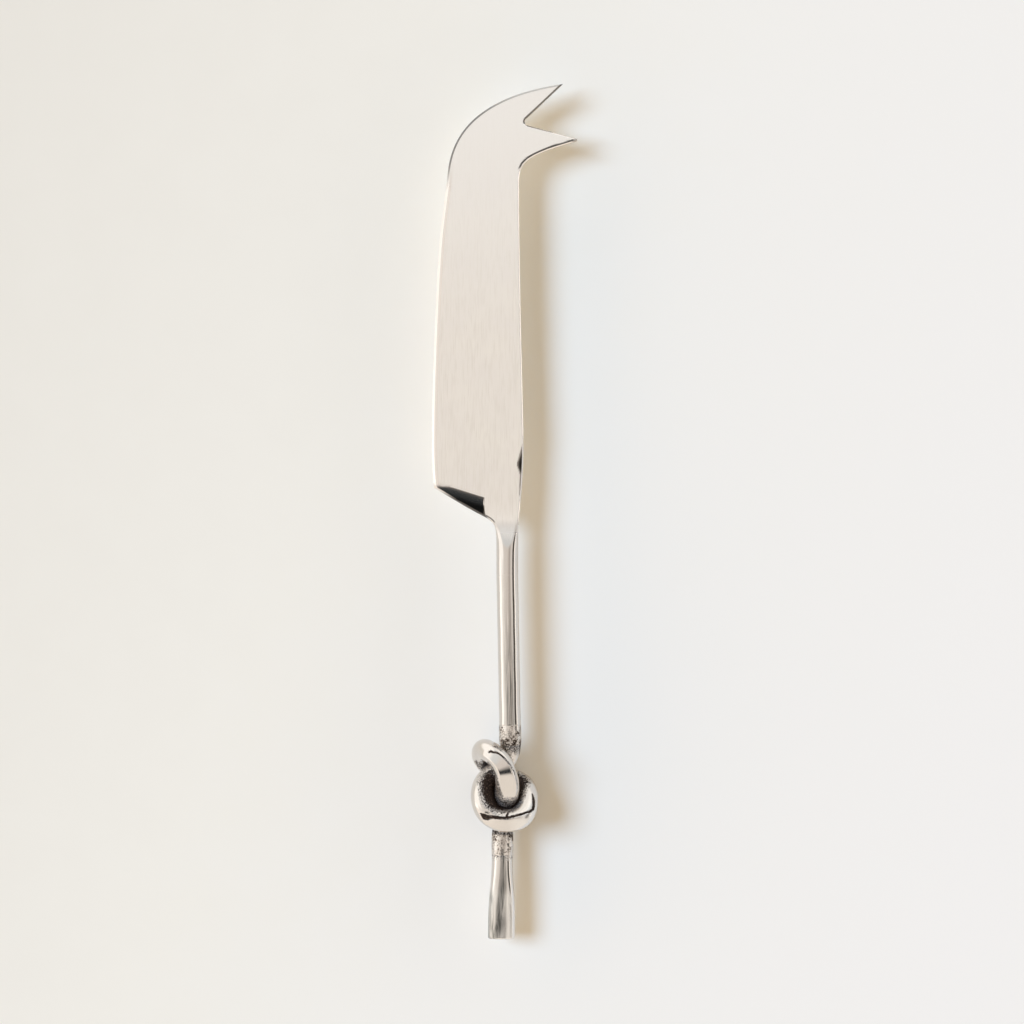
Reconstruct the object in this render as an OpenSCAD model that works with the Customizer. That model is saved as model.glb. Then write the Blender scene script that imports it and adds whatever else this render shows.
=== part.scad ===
// Cheese knife: a flat forked blade, a round handle tied in one overhand knot, and a hammered tail.
// The knife lies face up: the blade points along +Y, its cutting edge is on the -X side, +Z is up.
// The origin is under the middle of the knife, at the height of the knot's lowest point.

/* [Blade] */
// Length of the flat blade, from the heel corner to the tip of the upper prong
blade_l = 113.1; // [90:0.1:150]
// Width of the blade at its widest, from the cutting edge to the spine line
blade_w = 25.2; // [20:0.1:32]
// How far the spine line lies beside the axis of the neck
spine_reach = 4.42; // [3.6:0.01:6]
// Thickness of the flat blade
blade_t = 2; // [1.4:0.1:2.6]
// Width of the ground bevel along the cutting edge
bevel_w = 0.85; // [0.5:0.05:1.5]
// Thickness left at the cutting edge
edge_t = 0.5; // [0.3:0.05:0.8]

/* [Fork] */
// Reach of the upper prong past the spine line
upper_prong_reach = 10.9; // [8:0.1:14]
// Reach of the lower prong past the spine line
lower_prong_reach = 15.1; // [12:0.1:19]
// Distance from the tip of the blade down to the tip of the lower prong
prong_spacing = 15.4; // [13:0.1:19]
// Depth of the underside of the lower prong, from its tip down to the spine
prong_sweep = 11.8; // [9:0.1:16]
// Radius of the root of the notch between the prongs
notch_r = 1.1; // [0.8:0.05:1.6]
// Distance from the tip of the blade down to the middle of the notch's root
notch_drop = 10.5; // [9:0.1:12]
// How far the middle of the notch's root lies past the spine line
notch_inset = 1.3; // [0.5:0.1:2.5]
// Height of the blunt tip of the lower prong
prong_tip_h = 0.6; // [0.4:0.05:1]

/* [Neck] */
// Length of the neck, from the heel corner to the seam with the handle
neck_l = 24.4; // [20:0.1:32]
// Thickness of the flared sides of the neck
flare_t = 2.9; // [2.7:0.1:3.6]
// Distance from the heel corner to the end of the flat face
face_drop = 2.6; // [1:0.1:4]
// Length over which the hollow of the neck rises to the full round
hollow_l = 17.6; // [14:0.1:22]
// Depth of the heel facet where it meets the neck
heel_facet_d = 0.9; // [0.4:0.05:1.2]
// Diameter of the spigot that stands in the handle
spigot_d = 3.2; // [2.6:0.1:4]
// Length of the spigot
spigot_l = 9; // [6:0.5:14]

/* [Handle] */
// Diameter of the round handle
handle_d = 6.1; // [5.2:0.1:7]
// Length of the handle from the seam to the upper weld's middle
shaft_l = 44.8; // [35:0.1:60]
// Lean of the handle against the blade, in degrees
handle_lean = 1.04; // [0:0.02:3]
// Gap between the spigot and the wall of its socket
spigot_fit = 0.05; // [0.03:0.01:0.15]
// Room left past the end of the spigot
spigot_room = 0.5; // [0.2:0.1:1]

/* [Knot] */
// Diameter of the knotted rod
knot_d = 6; // [5:0.1:6.6]
// Room between strands that pass each other, added to the diameter to give the pitch of the knot
knot_gap = 0.16; // [0.12:0.01:0.6]
// Length of the weld above the knot
upper_weld_l = 5.6; // [4:0.1:6]
// Length of the weld below the knot
lower_weld_l = 5.8; // [4:0.1:6]
// Diameter of the root faces that meet in the middle of each weld
weld_root_d = 2.4; // [1.6:0.1:3]
// Height of the weld's crown over the rod
weld_crown = 0.12; // [0.05:0.01:0.3]

/* [Tail] */
// Diameter of the tail where it leaves the lower weld
tail_d = 6; // [5.2:0.1:6.8]
// Length of the tail, from the lower weld's middle to its cut end
tail_l = 26.6; // [20:0.1:36]
// Width of the hammered end
tail_w = 7.56; // [6.6:0.02:9]
// Thickness of the hammered end
tail_t = 5.3; // [4.6:0.1:6]
// Length of the full width at the end
tail_flat_l = 10; // [6:0.1:14]
// Radius of the corners along the hammered end
tail_corner_r = 2.1; // [1.6:0.1:2.3]
// Chamfer around the cut end
tail_chamfer = 0.5; // [0.2:0.05:0.8]
// Lean of the tail against the handle, in degrees
tail_lean = 1.7; // [0:0.1:4]

/* [Hidden] */
// One overrun serves every cut
over = 1;
// Facets of the round parts, and the steps of a curve between two of its points
round_facets = 64;
hull_facets = 32;
curve_steps = 4;
side_steps = 2;
notch_steps = 8;
strand_sides = 20;
strand_steps = 4;

// Cutting edge from the heel corner to the tip: shares of the width from the spine line, and of the length
edge_shares = [
    [0.985, 0], [1.003, 0.035], [1.012, 0.11], [1.005, 0.22], [0.985, 0.36], [0.958, 0.50], [0.922, 0.63],
    [0.875, 0.70], [0.845, 0.76], [0.822, 0.81], [0.750, 0.855], [0.635, 0.894], [0.472, 0.928],
    [0.250, 0.957], [0.030, 0.9765], [-0.190, 0.989], [-0.300, 0.994]
];
// Underside of the lower prong from its tip: shares of its reach, and of its sweep down to the spine
under_shares = [
    [0.97, 0.01], [0.84, 0.03], [0.67, 0.07], [0.40, 0.17], [0.19, 0.29], [0.03, 0.45], [-0.05, 0.64],
    [-0.07, 0.82], [-0.07, 1]
];
// Spine from under the prong to the neck: shares of the width from the spine line, and of the length
spine_shares = [[0.044, 0.70], [0.033, 0.46], [0.011, 0.22], [0, 0.12], [0.006, 0.06], [0.022, 0]];
// Right side of the neck: shares of the handle's radius from its axis, and of the neck's length
neck_shares = [[1.16, 0.14], [1.08, 0.30], [1.02, 0.45], [0.97, 0.6]];
// Heel from the neck to the heel corner: shares of the heel's reach, and of the neck's length
heel_shares = [
    [0.125, 0.68], [0.140, 0.60], [0.150, 0.51], [0.170, 0.43], [0.215, 0.375], [0.320, 0.325],
    [0.500, 0.246], [0.735, 0.125], [0.972, 0]
];
// Corners of the heel facet on the face: shares of the heel's reach, and of the neck's length
heel_facet_shares = [[0.96, -0.005], [0.31, 0.10]];
// Depth at which the heel facet has its full cut, as a share of the neck's length
heel_facet_end_share = 0.33;
// Spine facet: shares of the width from the spine line and of the length, and its depth in blade thicknesses
spine_facet_shares = [[0.005, 0.12], [0.062, 0.058], [0.045, 0]];
spine_facet_depth_share = 0.35;

// Middle of the knot's ring from the upper weld's middle, in pitches of the knot
ring_centre_shares = [-0.29, -2.86, 0];
// Middle of the lower weld from the middle of the ring, in pitches of the knot
knot_end_shares = [-0.15, -2.13, -0.45];
// Route of the rod around the ring's middle in pitches of the knot: across, along the handle, and up.
// It passes behind the rising strand, rounds the ring in front, loops up behind the handle, turns over
// its top, and goes down through the ring.
route_shares = [
    [0.26, 2.10, 0], [0.13, 1.70, 0.02], [-0.38, 1.24, 0.03], [-0.97, 0.76, 0.12], [-1.12, 0, 0.42],
    [-0.80, -0.80, 0.62], [0, -1.13, 0.75], [0.82, -0.80, 0.55], [1.14, -0.05, -0.12],
    [0.90, 0.60, -0.75], [0.35, 0.95, -1.20], [-0.30, 1.22, -1.30], [-0.90, 1.60, -1],
    [-1.15, 2.03, -0.30], [-1, 2.30, 0.40], [-0.57, 2.08, 0.95], [-0.05, 1.60, 1.18],
    [0.17, 1, 1.12], [0.12, 0.50, 0.70], [-0.08, 0, 0.02], [-0.12, -0.58, -0.42], [-0.11, -1.05, -0.46],
    [-0.11, -1.35, -0.45]
];

// Blend weights of a smooth curve through four neighbouring points
function weights(t) = [
    pow(1 - t, 3), 3 * pow(t, 3) - 6 * t * t + 4, 3 * t + 3 * t * t - 3 * pow(t, 3) + 1, pow(t, 3)
] / 6;

// Smooth curve that follows a list of points and starts and ends on its first and last
function curve(points, steps) =
    let (n = len(points),
         p = concat([2 * points[0] - points[1]], points, [2 * points[n - 1] - points[n - 2]]))
    concat([for (i = [1:n - 1], s = [0:steps - 1])
        let (w = weights(s / steps))
        w[0] * p[i - 1] + w[1] * p[i] + w[2] * p[i + 1] + w[3] * p[i + 2]], [points[n - 1]]);

function unit(v) = v / norm(v);
// Direction of a list of points at one of them
function heading(points, i) = unit(points[min(i + 1, len(points) - 1)] - points[max(i - 1, 0)]);
// Angle at which the tangent from a point touches a circle, on its left (1) or its right (-1)
function touch(centre, r, p, side) =
    atan2(p.y - centre.y, p.x - centre.x) + side * acos(r / norm(p - centre));

// Places on the blade
heel_y = neck_l;
tip_y = heel_y + blade_l;
heel_reach = blade_w - spine_reach;
face_y = heel_y - face_drop;
function on_blade(s) = [spine_reach - s.x * blade_w, heel_y + s.y * blade_l];
function on_heel(s) = [-s.x * heel_reach, heel_y - s.y * neck_l];
function on_neck(s) = [s.x * handle_d / 2, heel_y - s.y * neck_l];
upper_tip = [spine_reach + upper_prong_reach, tip_y];
lower_tip = [spine_reach + lower_prong_reach, tip_y - prong_spacing];
notch_centre = [spine_reach + notch_inset, tip_y - notch_drop];
edge_points = concat(curve([for (s = edge_shares) on_blade(s)], curve_steps), [upper_tip]);
notch_points = let (from = touch(notch_centre, notch_r, upper_tip, 1),
                    to = touch(notch_centre, notch_r, lower_tip, -1) + 360)
    [for (k = [0:notch_steps])
        let (turn = from + (to - from) * k / notch_steps)
        notch_centre + notch_r * [cos(turn), sin(turn)]];
under_points = curve([for (s = under_shares)
    [spine_reach + s.x * lower_prong_reach, lower_tip.y - prong_tip_h - s.y * prong_sweep]], curve_steps);
side_points = curve(concat([for (s = spine_shares) on_blade(s)], [for (s = neck_shares) on_neck(s)]),
    side_steps);
heel_points = curve([for (s = heel_shares) on_heel(s)], curve_steps);
outline = concat(edge_points, notch_points, [lower_tip, lower_tip - [0, prong_tip_h]], under_points,
    side_points, heel_points);
// Radius of the hollow that runs from the flat face up to the round of the neck
hollow_rise = (handle_d - blade_t) / 2;
hollow_r = (hollow_l * hollow_l + hollow_rise * hollow_rise) / (2 * hollow_rise);

// Places on the handle, in its own leaning frame with the seam at zero
pitch = knot_d + knot_gap;
upper_joint = [0, -shaft_l, 0];
ring_centre = upper_joint + pitch * ring_centre_shares;
lower_joint = ring_centre + pitch * knot_end_shares;
tail_way = [-sin(tail_lean), -cos(tail_lean), 0];
lower_start = lower_joint - tail_way * lower_weld_l / 2;
route = concat([upper_joint],
    curve(concat([upper_joint - [0, upper_weld_l / 2, 0]], [for (s = route_shares) ring_centre + pitch * s],
        [lower_start]), strand_steps),
    [lower_joint]);
route_d = [for (i = [0:len(route) - 1]) i == 0 || i == len(route) - 1 ? weld_root_d : knot_d];
tail_end = lower_joint + tail_way * tail_l;

// Least gap of the knotted rod to itself, between places more than two pitches apart along it
along = [for (i = 0, s = 0; i < len(route);
    s = s + (i + 1 < len(route) ? norm(route[i + 1] - route[i]) : 0), i = i + 1) s];
least_gap = min([for (i = [0:len(route) - 1], j = [0:len(route) - 1])
    if (along[j] - along[i] > 2 * pitch) norm(route[i] - route[j])]) - knot_d;
echo(least_gap_of_the_knot = least_gap);

// The middle of the knife in plan, and its lowest point
low_z = min([for (p = route) p.z]) - knot_d / 2;
left_x = min([for (p = outline) p.x]);
end_y = lower_joint.y * cos(handle_lean) + lower_joint.x * sin(handle_lean)
    - tail_l * cos(handle_lean - tail_lean);
middle = [(left_x + lower_tip.x) / 2, (tip_y + end_y) / 2, low_z];

module placed() {
    translate(-middle)
        children();
}

module in_handle() {
    placed()
        rotate([0, 0, handle_lean])
            children();
}

// One face's cut: everything above the flat of the blade, and the hollow of the neck
module face_cut() {
    translate([-blade_w - over, face_y, blade_t / 2])
        cube([2 * blade_w + lower_prong_reach, blade_l + neck_l, handle_d]);
    translate([0, face_y, blade_t / 2 + hollow_r])
        rotate([0, 90, 0])
            cylinder(r = hollow_r, h = 4 * blade_w, center = true, $fn = 4 * round_facets);
}

// Ground bevel of one face: a flat cut for each chord of the cutting edge
module bevel_cut() {
    tilt = atan2((blade_t - edge_t) / 2, bevel_w);
    for (i = [0:len(edge_points) - 2])
        let (from = edge_points[i], way = edge_points[i + 1] - from)
        translate([from.x, from.y, edge_t / 2])
            rotate([-tilt, 0, atan2(way.y, way.x)])
                translate([-over, -bevel_w - over, 0])
                    cube([norm(way) + 2 * over, bevel_w + 3 * over, 2 * over]);
}

// Flat facet ground off the face inside an area, from nothing at the line a-b down to a depth
module facet_cut(area, a, b, reach, depth) {
    way = b - a;
    intersection() {
        linear_extrude(handle_d)
            polygon(area);
        translate([a.x, a.y, blade_t / 2])
            rotate([atan2(depth, reach), 0, atan2(way.y, way.x)])
                translate([-over, -2 * reach, 0])
                    cube([norm(way) + 2 * over, 2 * reach + over, handle_d]);
    }
}

// Forged blade: flat and forked, with a bevelled edge, a hollowed neck and a spigot for the handle
module blade() {
    heel_a = on_heel(heel_facet_shares[0]);
    heel_b = on_heel(heel_facet_shares[1]);
    heel_c = [heel_b.x, heel_y - heel_facet_end_share * neck_l];
    spine_a = on_blade(spine_facet_shares[0]);
    spine_b = on_blade(spine_facet_shares[1]);
    spine_c = on_blade(spine_facet_shares[2]);
    color("lightgray")
        placed()
            difference() {
                union() {
                    linear_extrude(flare_t, center = true)
                        polygon(outline);
                    rotate([-90, 0, 0])
                        cylinder(d = handle_d, h = face_y, $fn = round_facets);
                    translate([0, -spigot_l, 0])
                        rotate([-90, 0, 0])
                            cylinder(d = spigot_d, h = spigot_l + over, $fn = round_facets);
                }
                face_cut();
                mirror([0, 0, 1])
                    face_cut();
                bevel_cut();
                mirror([0, 0, 1])
                    bevel_cut();
                facet_cut([heel_a, heel_b, heel_c - [0, over], heel_a - [over, over]], heel_a, heel_b,
                    heel_b.y - heel_c.y, heel_facet_d);
                facet_cut([spine_a, spine_b, spine_c, spine_c + [blade_t, 0], spine_a + [blade_t, 0]],
                    spine_b, spine_a, spine_b.x - spine_a.x + blade_t, spine_facet_depth_share * blade_t);
            }
}

// Handle rod standing on its weld end, with the socket for the spigot at its top
module shaft_solid() {
    socket_l = spigot_l + spigot_room;
    difference() {
        union() {
            cylinder(d1 = weld_root_d, d2 = handle_d, h = upper_weld_l / 2, $fn = round_facets);
            translate([0, 0, upper_weld_l / 2])
                cylinder(d = handle_d, h = shaft_l - upper_weld_l / 2, $fn = round_facets);
        }
        translate([0, 0, shaft_l - socket_l])
            cylinder(d = spigot_d + 2 * spigot_fit, h = socket_l + over, $fn = round_facets);
    }
}

// Round handle between the blade and the knot
module shaft() {
    color("silver")
        in_handle()
            translate(upper_joint)
                rotate([-90, 0, 0])
                    shaft_solid();
}

// Weld that fills the groove between two pointed rod ends: a ring with a low crown
module weld_ring(length, upper_d, lower_d) {
    rotate([-90, 0, 0])
        rotate_extrude($fn = round_facets)
            polygon([
                [weld_root_d / 2, 0], [upper_d / 2, length / 2], [upper_d / 2 + weld_crown, length / 4],
                [lower_d / 2 + weld_crown, -length / 4], [lower_d / 2, -length / 2]
            ]);
}

module upper_weld() {
    color("dimgray")
        in_handle()
            translate(upper_joint)
                weld_ring(upper_weld_l, handle_d, knot_d);
}

// Rod tied in an overhand knot, swept along its route and pointed at both ends for the welds
module knot() {
    count = len(route);
    last = count - 1;
    normals = [for (i = 0, n = [1, 0, 0]; i < count;
        n = let (way = heading(route, min(i + 1, last))) unit(n - (n * way) * way), i = i + 1) n];
    points = [for (i = [0:last])
        let (way = heading(route, i), up = cross(way, normals[i]))
        for (k = [0:strand_sides - 1])
            let (turn = 360 * k / strand_sides)
            route[i] + route_d[i] / 2 * (cos(turn) * normals[i] + sin(turn) * up)];
    sides = [for (i = [0:last - 1], k = [0:strand_sides - 1])
        let (next = (k + 1) % strand_sides, ring = i * strand_sides, after = ring + strand_sides)
        [ring + k, after + k, after + next, ring + next]];
    color("gainsboro")
        in_handle()
            polyhedron(points, concat([[for (k = [0:strand_sides - 1]) k]], sides,
                [[for (k = [0:strand_sides - 1]) count * strand_sides - 1 - k]]));
}

module lower_weld() {
    color("dimgray")
        in_handle()
            translate(lower_joint)
                rotate([0, 0, -tail_lean])
                    weld_ring(lower_weld_l, knot_d, tail_d);
}

// Cross-section of the hammered end as a thin slice, drawn in by a margin
module tail_slice(margin) {
    offset_w = tail_w / 2 - tail_corner_r;
    offset_t = tail_t / 2 - tail_corner_r;
    for (x = [-1, 1], z = [-1, 1])
        translate([x * offset_w, 0, z * offset_t])
            rotate([90, 0, 0])
                cylinder(r = tail_corner_r - margin, h = tail_chamfer, $fn = hull_facets);
}

// Hammered tail: round at the weld, flattened and widened towards its cut end
module tail() {
    color("silver")
        in_handle()
            translate(lower_joint)
                rotate([0, 0, -tail_lean]) {
                    rotate([90, 0, 0])
                        cylinder(d1 = weld_root_d, d2 = tail_d, h = lower_weld_l / 2, $fn = round_facets);
                    hull() {
                        translate([0, -lower_weld_l / 2, 0])
                            rotate([90, 0, 0])
                                cylinder(d = tail_d, h = tail_chamfer, $fn = hull_facets);
                        translate([0, -tail_l + tail_flat_l, 0])
                            tail_slice(0);
                    }
                    hull() {
                        translate([0, -tail_l + tail_flat_l, 0])
                            tail_slice(0);
                        translate([0, -tail_l + 2 * tail_chamfer, 0])
                            tail_slice(0);
                        translate([0, -tail_l + tail_chamfer, 0])
                            tail_slice(tail_chamfer);
                    }
                }
}

blade();
shaft();
upper_weld();
knot();
lower_weld();
tail();
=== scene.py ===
import bmesh
import bpy
import numpy as np
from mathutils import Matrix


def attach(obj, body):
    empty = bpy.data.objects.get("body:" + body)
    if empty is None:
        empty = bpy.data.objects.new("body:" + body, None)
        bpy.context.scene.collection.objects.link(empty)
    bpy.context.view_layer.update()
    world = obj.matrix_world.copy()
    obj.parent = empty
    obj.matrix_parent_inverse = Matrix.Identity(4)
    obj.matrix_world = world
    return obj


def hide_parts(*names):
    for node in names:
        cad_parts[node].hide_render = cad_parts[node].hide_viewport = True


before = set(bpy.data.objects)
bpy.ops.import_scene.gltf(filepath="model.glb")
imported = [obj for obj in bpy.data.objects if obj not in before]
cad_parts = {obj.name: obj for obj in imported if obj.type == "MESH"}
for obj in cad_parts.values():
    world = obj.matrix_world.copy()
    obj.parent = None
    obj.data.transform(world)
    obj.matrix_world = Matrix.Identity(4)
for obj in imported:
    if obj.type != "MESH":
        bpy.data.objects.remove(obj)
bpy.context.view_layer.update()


# ------------------------------------------------------------------
# BLADE. One forged plate of stainless steel, cut to a forked tip, ground along the cutting edge and drawn
# down to a round neck. Its face is brushed lengthwise to a satin finish, and the facets ground at the heel
# and the spine are mirror bright. A spigot below the neck stands in the handle.

# Sizes are in millimetres from the seam with the handle: X across, Y towards the tip, Z up out of the face.
# In their names T is a thickness, R a radius, L a length, and Y a height along the knife.
SEAM_MM = np.array([0.7476, -17.6633, 10.6751])
HANDLE_R = 3.05
SPIGOT_R, SPIGOT_L = 1.6, 9.0
HALF_T, EDGE_HALF_T, LEAST_T = 1.0, 0.3, 0.15
BEVEL_SLOPE = 0.95
RUN_IN_HALF_T, RUN_IN_SLOPE = 0.69, 0.24
CREASE = 0.03
CHAMFER = 0.32
HEEL_END, HEEL_TILT, HEEL_DEEPEST = -6.45, np.radians(13), 0.95
SPINE_SLOPE, SPINE_DEEPEST = np.tan(np.radians(21)), 0.92
SHARP_CORNER = np.radians(38)
SAME_PLACE_M = 2e-7
# The outline, and the heights at which its left and right sides are paired.
LEFT_NECK = [(-3.05, 0), (-3.05, 3), (-3.05, 6), (-3.05, 9), (-3.12, 12), (-3.53, 13.9), (-4.47, 15.25),
             (-6.65, 16.5), (-10.4, 18.4), (-15.3, 21.35), (-20.3, 24.35)]
CUTTING_EDGE = [(-20.4, 24.4), (-20.86, 28.4), (-21.08, 36.8), (-20.91, 49.3), (-20.4, 65.1),
                (-19.72, 80.95), (-18.81, 95.65), (-17.63, 103.57), (-16.87, 110.36), (-16.29, 116),
                (-14.48, 121.1), (-11.58, 125.5), (-7.47, 129.36), (-1.88, 132.64), (3.66, 134.84),
                (9.21, 136.26), (11.98, 136.82)]
RIGHT_NECK = [(3.05, 0), (3.05, 3), (3.05, 6), (3.05, 9.5), (3.12, 13.4), (3.4, 17.1), (3.73, 21),
              (4.08, 24.4), (4.48, 31.2), (4.62, 38), (4.3, 49.3), (3.63, 76.4), (3.31, 103.6)]
UNDER_PRONG = [(3.34, 109.7), (3.38, 111.6), (3.7, 113.3), (4.5, 114.9), (5.8, 116.2), (7.5, 117.25),
               (9.2, 118.05), (11.4, 118.95), (13.7, 119.72), (15.9, 120.38), (17.6, 120.9),
               (19.07, 121.35)]
LOWER_TIP = [(19.52, 121.5), (19.52, 122.1)]
NOTCH_CENTRE, NOTCH_R = (5.98, 126.85), 1.1
UPPER_TIP = (15.6, 137.42)
NECK_Y, HEEL_Y, PRONG_Y, NOTCH_Y, ROOT_LOW_Y, ROOT_HIGH_Y = 12.0, 26.0, 103.0, 121.5, 125.5, 127.2
# Columns of the grid close to the two sides, in millimetres from them. Ribs shorter than FULL_RIB draw
# them together.
NEAR_EDGE = np.array([0, .05, .15, .3, .45, .53, .59, .68, .8, 1.0, 1.2, 1.3, 1.42, 1.6])
NEAR_SPINE = np.array([0, .08, .16, .24, .3, .35, .45, .6, .8, 1.05, 1.3, 1.55, 1.8, 2.05])
FULL_RIB = 4.4


def smooth_line(points, steps=12):
    """A cubic B-spline: each place blends four neighbouring points by (1-t)^3, 3t^3-6t^2+4,
    1+3t+3t^2-3t^3 and t^3, all over six. Reflected end points make it start and end on its ends."""
    p = np.asarray(points, float)
    p = np.vstack([2 * p[0] - p[1], p, 2 * p[-1] - p[-2]])
    t = np.arange(steps) / steps
    weights = [(1 - t) ** 3, 3 * t**3 - 6 * t**2 + 4, 1 + 3 * t + 3 * t**2 - 3 * t**3, t**3]
    weights = np.stack(weights, 1) / 6
    fours = np.stack([p[k:len(p) - 3 + k] for k in range(4)], 1)
    line = np.einsum("sk,nkd->nsd", weights, fours).reshape(-1, p.shape[1])
    return np.vstack([line, np.asarray(points, float)[-1:]])


def along_line(line, count):
    """The line again with its places evenly spaced, each found between its neighbours by its travel."""
    travel = np.concatenate([[0], np.cumsum(np.linalg.norm(np.diff(line, axis=0), axis=1))])
    places = np.linspace(0, travel[-1], count)
    return np.stack([np.interp(places, travel, line[:, k]) for k in range(line.shape[1])], 1)


def cut_line(line, y):
    """Splits a line that climbs in Y into the parts below and above the height y, at the share of the
    stretch that reaches it."""
    at = np.searchsorted(line[:, 1], y)
    share = (y - line[at - 1, 1]) / (line[at, 1] - line[at - 1, 1])
    place = line[at - 1] + share * (line[at] - line[at - 1])
    return np.vstack([line[:at], place]), np.vstack([place, line[at:]])


def distance_to(points, line):
    """Least distance from each point to a line of straight stretches: the nearest place on a stretch from
    a to b is a + t (b - a), with t the point's share along it, held between 0 and 1."""
    nearest = np.full(len(points), np.inf)
    for a, b in zip(line[:-1], line[1:]):
        way = b - a
        t = np.clip(np.sum((points - a) * way, 1) / max(np.sum(way * way), 1e-12), 0, 1)
        nearest = np.minimum(nearest, np.hypot(*(points - a - t[:, None] * way).T))
    return nearest


def ease(x, low, high):
    """Runs from 0 at low to 1 at high as 3t^2 - 2t^3."""
    t = np.clip((x - low) / (high - low), 0, 1)
    return t * t * (3 - 2 * t)


def lesser(a, b, blend):
    """The lesser of two heights with a rounded crease: with t = 1/2 + (b - a) / (2 blend), held between 0
    and 1, it is b (1 - t) + a t - blend t (1 - t)."""
    t = np.clip(0.5 + 0.5 * (b - a) / blend, 0, 1)
    return b * (1 - t) + a * t - blend * t * (1 - t)


def smooth_table(place, pairs):
    """The value at each place from a table of (place, value) pairs, its corners rounded by smooth_line."""
    line = smooth_line(pairs)
    return np.interp(place, line[:, 0], line[:, 1])


def grid_faces(rows, columns, closed=False, first=0):
    """Four-cornered faces of a grid of points numbered row by row from first, its last column joined to
    its first where it is closed."""
    number = first + np.arange(rows * columns).reshape(rows, columns)
    if closed:
        number = np.hstack([number, number[:, :1]])
    return np.stack([number[:-1, :-1], number[:-1, 1:], number[1:, 1:], number[1:, :-1]], -1).reshape(-1, 4)


def put_in_scene(name, data):
    """A new object with this data, at the origin and unturned."""
    thing = bpy.data.objects.new(name, data)
    bpy.context.scene.collection.objects.link(thing)
    return thing


def make_piece(name, points, faces, values=None, uv=None):
    """A mesh from points in millimetres from the seam, put into the frame in metres. Points at one place
    are merged, so seams and poles are closed, all faces are turned outwards, and sharp corners stay
    crisp. values are numbers kept at each point for the finish to read, and uv gives each point a place
    on the surface laid flat."""
    mesh = bpy.data.meshes.new(name)
    mesh.from_pydata((points + SEAM_MM) / 1000, [], faces.tolist())
    for word, numbers in (values or {}).items():
        layer = mesh.attributes.new(word, "FLOAT", "POINT")
        layer.data.foreach_set("value", np.asarray(numbers, np.float32))
    if uv is not None:
        layer = mesh.uv_layers.new(name="lay")
        layer.data.foreach_set("uv", uv[faces.ravel()].astype(np.float32).ravel())
    whole = bmesh.new()
    whole.from_mesh(mesh)
    bmesh.ops.remove_doubles(whole, verts=whole.verts, dist=SAME_PLACE_M)
    bmesh.ops.recalc_face_normals(whole, faces=whole.faces)
    whole.to_mesh(mesh)
    whole.free()
    mesh.polygons.foreach_set("use_smooth", np.ones(len(mesh.polygons), bool))
    mesh.set_sharp_from_angle(angle=SHARP_CORNER)
    return put_in_scene(name, mesh)


def blade_grid():
    """The blade's plan as a grid: straight ribs from the cutting-edge side to the spine side. The rows
    pair up by length within each stretch of the outline, and the columns crowd towards both sides."""
    neck, edge = smooth_line(LEFT_NECK), np.vstack([smooth_line(CUTTING_EDGE), UPPER_TIP])
    left_low, left_high = cut_line(neck, NECK_Y)
    right_low, right_high = cut_line(smooth_line(RIGHT_NECK), NECK_Y)
    right_heel, right_spine = cut_line(right_high, HEEL_Y)
    edge_low, edge_rest = cut_line(edge, PRONG_Y)
    edge_prong, edge_rest = cut_line(edge_rest, NOTCH_Y)
    edge_notch, edge_rest = cut_line(edge_rest, ROOT_LOW_Y)
    edge_root, edge_tip = cut_line(edge_rest, ROOT_HIGH_Y)
    turn = np.radians(np.linspace(255.0, 137.0, 16))
    root = np.array(NOTCH_CENTRE) + NOTCH_R * np.stack([np.cos(turn), np.sin(turn)], 1)
    stretches = [
        (left_low, right_low, 56), (left_high, right_heel, 150),
        (edge_low, np.vstack([right_spine, UNDER_PRONG[0]]), 120),
        (edge_prong, np.vstack([smooth_line(UNDER_PRONG), LOWER_TIP]), 90),
        (edge_notch, np.vstack([LOWER_TIP[-1], root[0]]), 44), (edge_root, root, 14),
        (edge_tip, np.vstack([root[-1], UPPER_TIP]), 56),
    ]
    left = np.vstack([along_line(a, n)[:-1] for a, b, n in stretches] + [UPPER_TIP])
    right = np.vstack([along_line(b, n)[:-1] for a, b, n in stretches] + [UPPER_TIP])
    width = np.linalg.norm(right - left, axis=1)[:, None]
    shrink = np.minimum(1, width / FULL_RIB)
    width = np.maximum(width, 1e-6)
    share_left, share_right = NEAR_EDGE * shrink / width, 1 - NEAR_SPINE[::-1] * shrink / width
    first, last = share_left[:, -1:], share_right[:, :1]
    # The columns between also crowd to the heel facet's end, at the share of the rib where it crosses it.
    spare = 0.12 * (last - first)
    heel_end = np.full((len(left), 1), 0.5)
    heel_end[:-1] = (HEEL_END - left[:-1, :1]) / (right - left)[:-1, :1]
    heel_end = np.clip(heel_end, first + spare, last - spare)
    crowd = np.array([-.3, -.15, -.05, .05, .15, .3]) * np.minimum(1 / width, spare / 0.34)
    ramp = np.linspace(0, 1, 20)[1:-1]
    share = np.hstack([share_left, first + (heel_end + crowd[:, :1] - first) * ramp, heel_end + crowd,
                       heel_end + crowd[:, -1:] + (last - heel_end - crowd[:, -1:]) * ramp, share_right])
    share = share[..., None]
    return left[:, None] * (1 - share) + right[:, None] * share, neck, edge, right


grid, neck_line, edge_line, right_line = blade_grid()
rows, columns = grid.shape[:2]
plan = grid.reshape(-1, 2)
x, y = plan.T
to_edge = distance_to(plan, edge_line)
to_side = np.minimum(distance_to(plan, neck_line), distance_to(plan, right_line))

# Height of the face above the middle plane: level on the blade, climbing to the full round of the neck.
face = smooth_table(y, [(-2, HANDLE_R), (3, HANDLE_R), (6, 3.03), (8.4, 2.76), (10, 2.35), (11.5, 1.88),
                        (13, 1.45), (15, 1.14), (18, HALF_T), (22, HALF_T), (26, HALF_T), (200, HALF_T)])
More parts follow.
